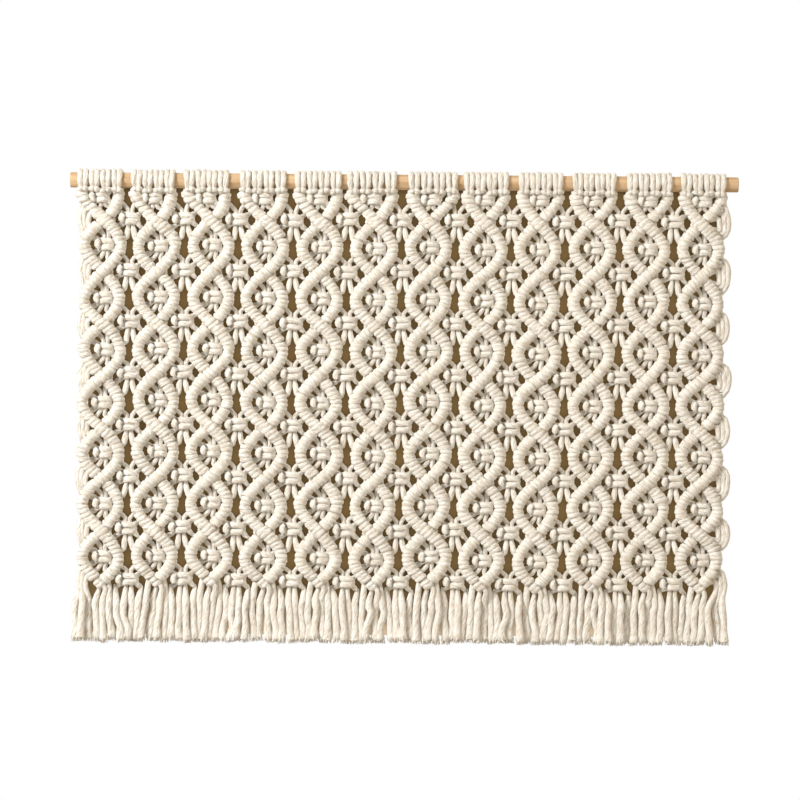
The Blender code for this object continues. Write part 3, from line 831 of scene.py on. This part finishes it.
def painted_shade_material():
    """Painted shade: a glowing card stands for the wall in the hanging's shade, darker where less open net
    lies before it, paler towards the fringe's foot, and clear from behind."""
    material = bpy.data.materials.new("shade")
    material.use_nodes = True
    tree = material.node_tree
    tree.nodes.remove(tree.nodes["Principled BSDF"])
    place = node(tree, "ShaderNodeTexCoord")
    parts = node(tree, "ShaderNodeSeparateXYZ")
    tree.links.new(place.outputs["Object"], parts.inputs[0])
    # the painted shade grows paler towards the fringe's foot
    height = node(tree, "ShaderNodeMapRange")
    height.inputs["From Min"].default_value = FRINGE_FOOT
    height.inputs["From Max"].default_value = SHADE_PALER
    tree.links.new(parts.outputs["Z"], height.inputs["Value"])
    ramp = node(tree, "ShaderNodeValToRGB")
    ramp.color_ramp.elements[0].color = (*SHADE_LOW, 1)
    ramp.color_ramp.elements[1].color = (*SHADE, 1)
    tree.links.new(height.outputs[0], ramp.inputs["Fac"])
    # painted shade: the card's glow rises with how open the net before it is
    openness = node(tree, "ShaderNodeAmbientOcclusion", samples=8)
    openness.inputs["Distance"].default_value = 0.04
    strength = node(tree, "ShaderNodeMath", operation="MULTIPLY_ADD")
    strength.inputs[1].default_value = SHADE_OPEN
    strength.inputs[2].default_value = SHADE_LEAST
    tree.links.new(openness.outputs["AO"], strength.inputs[0])
    # the card glows though it is no lamp: its glow is the painted shade itself
    glow = node(tree, "ShaderNodeEmission")
    tree.links.new(ramp.outputs["Color"], glow.inputs["Color"])
    tree.links.new(strength.outputs[0], glow.inputs["Strength"])
    facing = node(tree, "ShaderNodeNewGeometry")
    clear = node(tree, "ShaderNodeBsdfTransparent")
    mix = node(tree, "ShaderNodeMixShader")
    tree.links.new(facing.outputs["Backfacing"], mix.inputs[0])
    tree.links.new(glow.outputs[0], mix.inputs[1])
    tree.links.new(clear.outputs[0], mix.inputs[2])
    tree.links.new(mix.outputs[0], tree.nodes["Material Output"].inputs["Surface"])
    return material


def sheet(name, corners, material):
    """A flat four-cornered card of the stage."""
    mesh = bpy.data.meshes.new(name)
    mesh.from_pydata(corners, [], [(0, 1, 2, 3)])
    mesh.materials.append(material)
    made = bpy.data.objects.new(name, mesh)
    bpy.context.scene.collection.objects.link(made)
    return made


def seen_only(made):
    """Only the camera sees it: it throws no light and no shadow on the hanging."""
    made.visible_diffuse = False
    made.visible_glossy = False
    made.visible_transmission = False
    made.visible_shadow = False


def area_light(name, place, size, power, colour):
    """A round light that looks at the hanging's middle."""
    light = bpy.data.lights.new(name, "AREA")
    light.shape = "DISK"
    light.size = size
    light.energy = power
    light.color = colour
    made = bpy.data.objects.new(name, light)
    made.location = place
    direction = np.array(LIGHTS_AIM) - np.array(place)
    made.rotation_euler = Vector(direction).to_track_quat("-Z", "Y").to_euler()
    bpy.context.scene.collection.objects.link(made)


def build_floor():
    """A pale disc under the hanging."""
    bpy.ops.mesh.primitive_circle_add(vertices=96, radius=FLOOR_RADIUS, fill_type="NGON",
                                      location=(0, 0, FLOOR_Z))
    floor = bpy.context.object
    floor.name = "floor"
    floor.data.materials.append(plain_material("floor", FLOOR_COLOUR, FLOOR_GLOW))
    seen_only(floor)


def build_shade():
    """Two glowing cards of painted shade, behind the net and behind the fringe, within the hanging's own
    depth.
    """
    material = painted_shade_material()
    left, right = SHADE_SIDES
    for high, low, y in zip(SHADE_HEIGHTS[:-1], SHADE_HEIGHTS[1:], SHADE_BEHIND):
        corners = [(left, y, low), (right, y, low), (right, y, high), (left, y, high)]
        # each card is painted shade, standing where the wall lies in the hanging's shade
        seen_only(sheet("painted_shade_wall", corners, material))


def build_backdrop():
    """A white room that only the camera sees."""
    bpy.ops.mesh.primitive_uv_sphere_add(radius=BACKDROP_RADIUS, segments=32, ring_count=16)
    dome = bpy.context.object
    dome.name = "backdrop"
    glow = plain_material("backdrop", (1, 1, 1), 1.0)
    glow.node_tree.nodes["Principled BSDF"].inputs["Base Color"].default_value = (0, 0, 0, 1)
    dome.data.materials.append(glow)
    seen_only(dome)


def build_lights():
    """The area lights and the even light from all round."""
    for name, values in LIGHTS.items():
        area_light(name, *values)
    world = bpy.context.scene.world or bpy.data.worlds.new("world")
    bpy.context.scene.world = world
    world.use_nodes = True
    world.node_tree.nodes["Background"].inputs["Color"].default_value = (*AMBIENT_COLOUR, 1)
    world.node_tree.nodes["Background"].inputs["Strength"].default_value = AMBIENT_STRENGTH
    bpy.context.scene.view_settings.view_transform = "Standard"


def build_camera():
    """Straight on, far away, with the photograph's frame."""
    camera = bpy.data.cameras.new("camera")
    camera.sensor_width = 36.0
    camera.lens = camera.sensor_width * CAMERA_DISTANCE / FRAME_WIDTH
    camera.clip_end = 100
    made = bpy.data.objects.new("camera", camera)
    made.location = (CAMERA_X, -CAMERA_DISTANCE, CAMERA_Z)
    made.rotation_euler = (math.radians(90), math.radians(CAMERA_ROLL), 0.0)
    bpy.context.scene.collection.objects.link(made)
    bpy.context.scene.camera = made


# ---------------------------------------------------------------- pieces

def build_dowel(material):
    """The rod, turned smooth, with its ends' edges rounded."""
    low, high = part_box("dowel")
    radius = (high.z - low.z) / 2
    profile = [(low.x, 0.0)]
    for end, sign in ((low.x, 1), (high.x, -1)):
        arc = [(end + sign * DOWEL_EDGE * (1 - math.cos(a)), radius - DOWEL_EDGE + DOWEL_EDGE * math.sin(a))
               for a in np.linspace(0, math.pi / 2, 5)]
        profile += arc if sign > 0 else arc[::-1]
    profile.append((high.x, 0.0))
    around = 48
    points = [(x, r * math.sin(2 * math.pi * i / around), r * math.cos(2 * math.pi * i / around))
              for x, r in profile for i in range(around)]
    faces = []
    for row in range(len(profile) - 1):
        for i in range(around):
            j = (i + 1) % around
            faces.append((row * around + i, (row + 1) * around + i, (row + 1) * around + j,
                          row * around + j))
    mesh = bpy.data.meshes.new("rod")
    mesh.from_pydata(points, [], faces)
    mesh.materials.append(material)
    mesh.shade_smooth()
    mesh.set_sharp_from_angle(angle=math.radians(40))
    rod = bpy.data.objects.new("rod", mesh)
    bpy.context.scene.collection.objects.link(rod)
    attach(rod, "root")
    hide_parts("dowel")


def build_column(column, material):
    """A column's eight half cords, from its heading to the fringe, as one piece."""
    chance = random.Random(SEED * 100 + column)
    tubes = []
    for cord in range(1, 9):
        make = carrier_route if cord in (1, 8) else down_route
        route = make(column, cord, chance)
        tone = chance.uniform(*TONES)
        begin = column * CORD_BEGINS[0] + cord * CORD_BEGINS[1]
        tubes.append(tube(route.rows, tone, begin=begin))
        tubes += brush(route, tone)
    piece = mesh_of(f"column_{column + 1:02d}", tubes, material)
    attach(piece, "root")
    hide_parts(f"heading_{column + 1:02d}", "net", "fringe")


def main():
    noise.seed_set(SEED)            # without it, noise_vector follows the clock
    cotton = cotton_material()
    build_dowel(pine_material())
    for column in range(COLUMNS):
        build_column(column, cotton)
    build_camera()
    build_floor()
    build_shade()
    build_backdrop()
    build_lights()


main()
